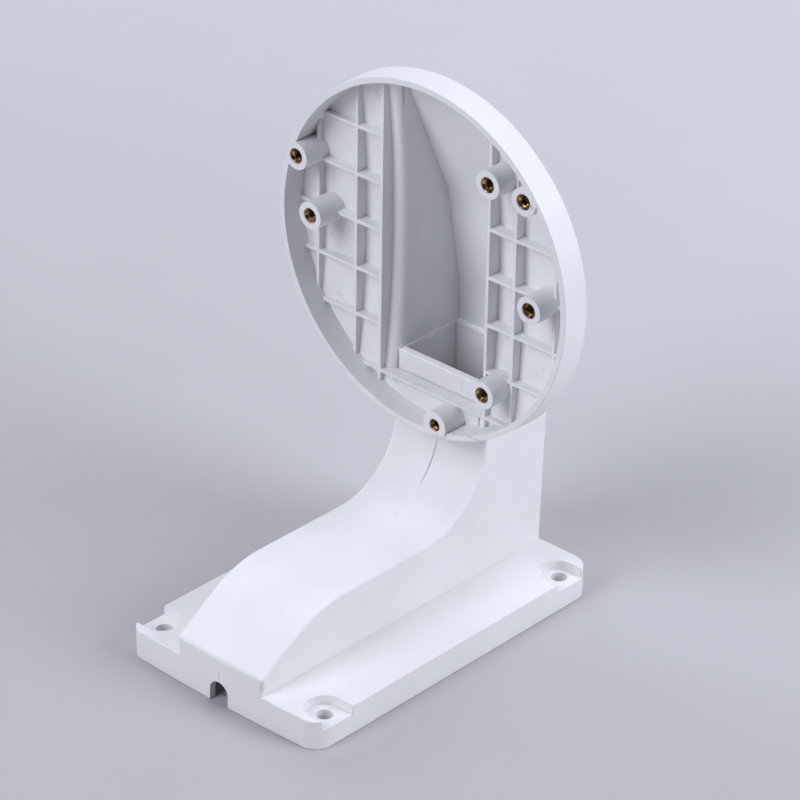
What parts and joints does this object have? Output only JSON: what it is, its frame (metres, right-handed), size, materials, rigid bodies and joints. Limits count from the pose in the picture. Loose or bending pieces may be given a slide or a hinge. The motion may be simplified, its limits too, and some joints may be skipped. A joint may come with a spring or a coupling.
{
  "type": "camera wall bracket",
  "caption": "Wall bracket for a small dome camera: screw-down plate, hollow swept arm and a round ribbed dish with brass threaded inserts, facing along the plate.",
  "frame": {"origin": "centre of the wall screw pattern on the plate's back plane", "axes": "+Z out of the wall plane through the plate, -Y the way the dish faces and the end with the cable notch, +X to the right of someone who looks into the dish along +Y"},
  "size_m": [0.1208, 0.1312, 0.182],
  "materials": {
    "white_plastic": "satin",
    "brass": "machined"
  },
  "bodies": {
    "root": {"bracket": "white_plastic", "insert_inner_1": "brass", "insert_inner_2": "brass", "insert_inner_3": "brass", "insert_inner_4": "brass", "insert_outer_1": "brass", "insert_outer_2": "brass", "insert_outer_3": "brass"}
  },
  "joints": []
}
